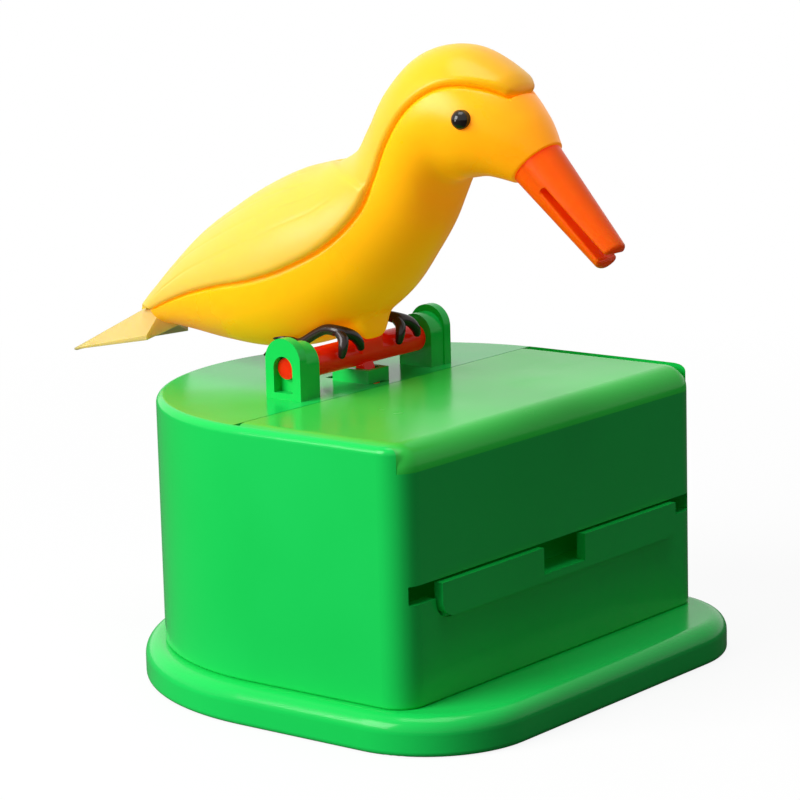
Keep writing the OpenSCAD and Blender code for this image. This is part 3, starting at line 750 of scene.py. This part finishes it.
def white_floor(size):
    """A plane under the object. To the camera it is NEAR_WHITE parts plain white and the rest a lit
    white surface up to the distance NEAR, and plain white from FAR on; to other light it is grey."""
    corners = np.array([[-1, -1], [1, -1], [1, 1], [-1, 1]]) * size
    points = np.column_stack([corners, np.full(4, -FLOOR_DROP)])
    mesh = bpy.data.meshes.new("floor")
    mesh.from_pydata(points.tolist(), [], [(0, 1, 2, 3)])
    piece = bpy.data.objects.new("floor", mesh)
    scene.collection.objects.link(piece)
    made, tree, surface, place = start_material("floor_white")
    surface.inputs["Roughness"].default_value = 0.6
    mottle = noise(tree, place, 6.0)
    tree.links.new(ramp(tree, mottle, [(0.0, (0.85, 0.85, 0.85)), (1.0, (0.88, 0.88, 0.88))]),
                   surface.inputs["Base Color"])
    rays = tree.nodes.new("ShaderNodeLightPath")
    shine = add_node(tree, "ShaderNodeEmission", Strength=1.0)
    shine.inputs["Color"].default_value = (1.0, 1.0, 1.0, 1.0)
    lit = tree.nodes.new("ShaderNodeMixShader")
    far = add_node(tree, "ShaderNodeVectorMath", operation="LENGTH")
    tree.links.new(place, far.inputs[0])
    fade = add_node(tree, "ShaderNodeMapRange", From_Min=NEAR, From_Max=FAR,
                    To_Min=NEAR_WHITE, To_Max=1.0)
    tree.links.new(far.outputs["Value"], fade.inputs["Value"])
    tree.links.new(fade.outputs["Result"], lit.inputs[0])
    tree.links.new(surface.outputs["BSDF"], lit.inputs[1])
    tree.links.new(shine.outputs["Emission"], lit.inputs[2])
    grey = add_node(tree, "ShaderNodeBsdfDiffuse", Color=(GREY, GREY, GREY, 1.0))
    pick = tree.nodes.new("ShaderNodeMixShader")
    tree.links.new(rays.outputs["Is Camera Ray"], pick.inputs[0])
    tree.links.new(grey.outputs["BSDF"], pick.inputs[1])
    tree.links.new(lit.outputs["Shader"], pick.inputs[2])
    output = next(n for n in tree.nodes if n.type == "OUTPUT_MATERIAL")
    tree.links.new(pick.outputs["Shader"], output.inputs["Surface"])
    dress(piece, made)


FLOOR_HALF = 3.0  # metres
white_floor(FLOOR_HALF)
print("floor:", 2 * FLOOR_HALF, "m across")

# %% [markdown]
# ## The background
# Camera and mirrors see plain white all round, and so does anything clear. For lighting, the same
# background is weak, so that the lamps shape the object.

# %% World


def white_world(strength):
    """White to the camera, in mirrors and through glass, and a plain soft light of that strength
    for everything else."""
    world = bpy.data.worlds.new("world")
    scene.world = world
    world.use_nodes = True
    tree = world.node_tree
    tree.nodes.clear()
    rays = tree.nodes.new("ShaderNodeLightPath")
    seen = add_node(tree, "ShaderNodeMath", operation="MAXIMUM")
    tree.links.new(rays.outputs["Is Camera Ray"], seen.inputs[0])
    tree.links.new(rays.outputs["Is Glossy Ray"], seen.inputs[1])
    through = add_node(tree, "ShaderNodeMath", operation="MAXIMUM")
    tree.links.new(seen.outputs["Value"], through.inputs[0])
    tree.links.new(rays.outputs["Is Transmission Ray"], through.inputs[1])
    light = add_node(tree, "ShaderNodeBackground", Strength=strength)
    light.inputs["Color"].default_value = (1.0, 1.0, 1.0, 1.0)
    show = add_node(tree, "ShaderNodeBackground", Strength=1.0)
    show.inputs["Color"].default_value = (1.0, 1.0, 1.0, 1.0)
    pick = tree.nodes.new("ShaderNodeMixShader")
    output = tree.nodes.new("ShaderNodeOutputWorld")
    tree.links.new(through.outputs["Value"], pick.inputs[0])
    tree.links.new(light.outputs["Background"], pick.inputs[1])
    tree.links.new(show.outputs["Background"], pick.inputs[2])
    tree.links.new(pick.outputs["Shader"], output.inputs["Surface"])


ALL_ROUND = 0.15
white_world(ALL_ROUND)
print("background light:", ALL_ROUND)

# %% [markdown]
# ## The lamps
# The light comes from behind on the left, so the box's side and the bird's back are bright and the
# front is in shade. A second, weaker lamp overhead rounds off the deck and the crown.

# %% Lamps


def soft_lamp(name, place, aim, size, power):
    """A square area lamp at place that points at aim, all in metres and watts."""
    data = bpy.data.lights.new(name, "AREA")
    data.shape = "SQUARE"
    data.size = size
    data.energy = power
    lamp = bpy.data.objects.new(name, data)
    scene.collection.objects.link(lamp)
    back_way = np.array(place) - np.array(aim)
    back_way = back_way / np.linalg.norm(back_way)
    side = np.cross([0, 0, 1], back_way)
    side = side / np.linalg.norm(side)
    turn = np.eye(4)
    turn[:3, 0], turn[:3, 1], turn[:3, 2] = side, np.cross(back_way, side), back_way
    turn[:3, 3] = place
    lamp.matrix_world = Matrix(turn.tolist())


MIDDLE = (0.0, 0.0, 0.045)
LAMP_SIZE = 0.5
soft_lamp("key", (-0.70, 0.30, 0.45), MIDDLE, LAMP_SIZE, 9.2)
soft_lamp("top", (-0.05, -0.02, 0.85), MIDDLE, LAMP_SIZE, 3.4)
